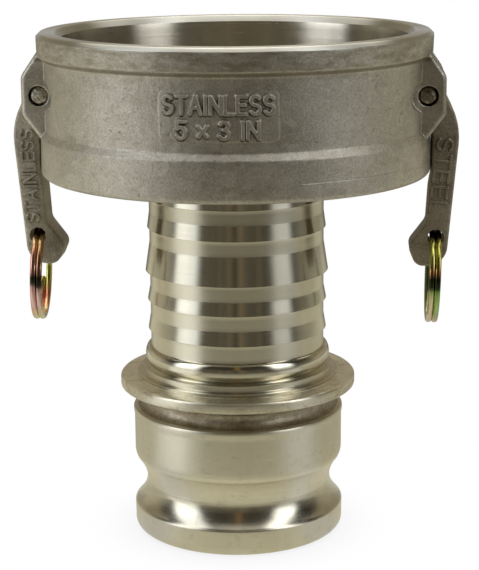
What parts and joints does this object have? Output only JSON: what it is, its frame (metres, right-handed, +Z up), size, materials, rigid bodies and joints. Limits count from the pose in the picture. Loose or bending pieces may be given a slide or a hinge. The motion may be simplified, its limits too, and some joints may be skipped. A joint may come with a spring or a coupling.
{
  "type": "camlock coupling",
  "caption": "Stainless reducing cam-and-groove coupling: wide female socket with closed cam arms, welded to a barbed hose shank that ends in a smaller male adapter.",
  "frame": {"origin": "centre of the male adapter's end face, on which the coupling stands", "axes": "+Z up along the flow axis towards the female socket, arms at +X and -X, pivot pins along Y"},
  "size_m": [0.1884, 0.1668, 0.2184],
  "materials": {
    "cast_stainless": "investment cast and bead blasted, machined bright on the rim and in the bore",
    "arm_cast": "rough as-cast stainless, darker than the body",
    "turned_stainless": "turned, fine circular tool marks, bright",
    "weld_metal": "rippled stainless weld with faint heat tint",
    "pin_stainless": "plain drawn bar with rounded ends",
    "yellow_zinc": "yellow chromated zinc plating with iridescent pink and green patches",
    "nitrile": "moulded black nitrile"
  },
  "bodies": {
    "coupling": {"coupler_body": "cast_stainless", "gasket": "nitrile", "weld_bead_outer": "weld_metal", "weld_bead_inner": "weld_metal", "hose_shank_adapter": "turned_stainless", "pivot_pin_left": "pin_stainless", "pivot_pin_right": "pin_stainless"},
    "arm_left": {"cam_arm_left": "arm_cast"},
    "arm_right": {"cam_arm_right": "arm_cast"},
    "ring_left": {"pull_ring_left": "yellow_zinc"},
    "ring_right": {"pull_ring_right": "yellow_zinc"}
  },
  "joints": [
    {"name": "arm_right_hinge", "type": "hinge", "parent": "coupling", "child": "arm_right", "pos_m": [0.0807, 0, 0.19265], "axis": [0, -1, 0], "range_deg": [0, 110]},
    {"name": "arm_left_hinge", "type": "hinge", "parent": "coupling", "child": "arm_left", "pos_m": [-0.0807, 0, 0.19265], "axis": [0, 1, 0], "range_deg": [0, 110]},
    {"name": "ring_right_swing", "type": "hinge", "parent": "arm_right", "child": "ring_right", "pos_m": [0.0852, 0, 0.1311], "axis": [0, -1, 0], "range_deg": [-130, 150]},
    {"name": "ring_left_swing", "type": "hinge", "parent": "arm_left", "child": "ring_left", "pos_m": [-0.0852, 0, 0.1311], "axis": [0, 1, 0], "range_deg": [-130, 150]}
  ]
}
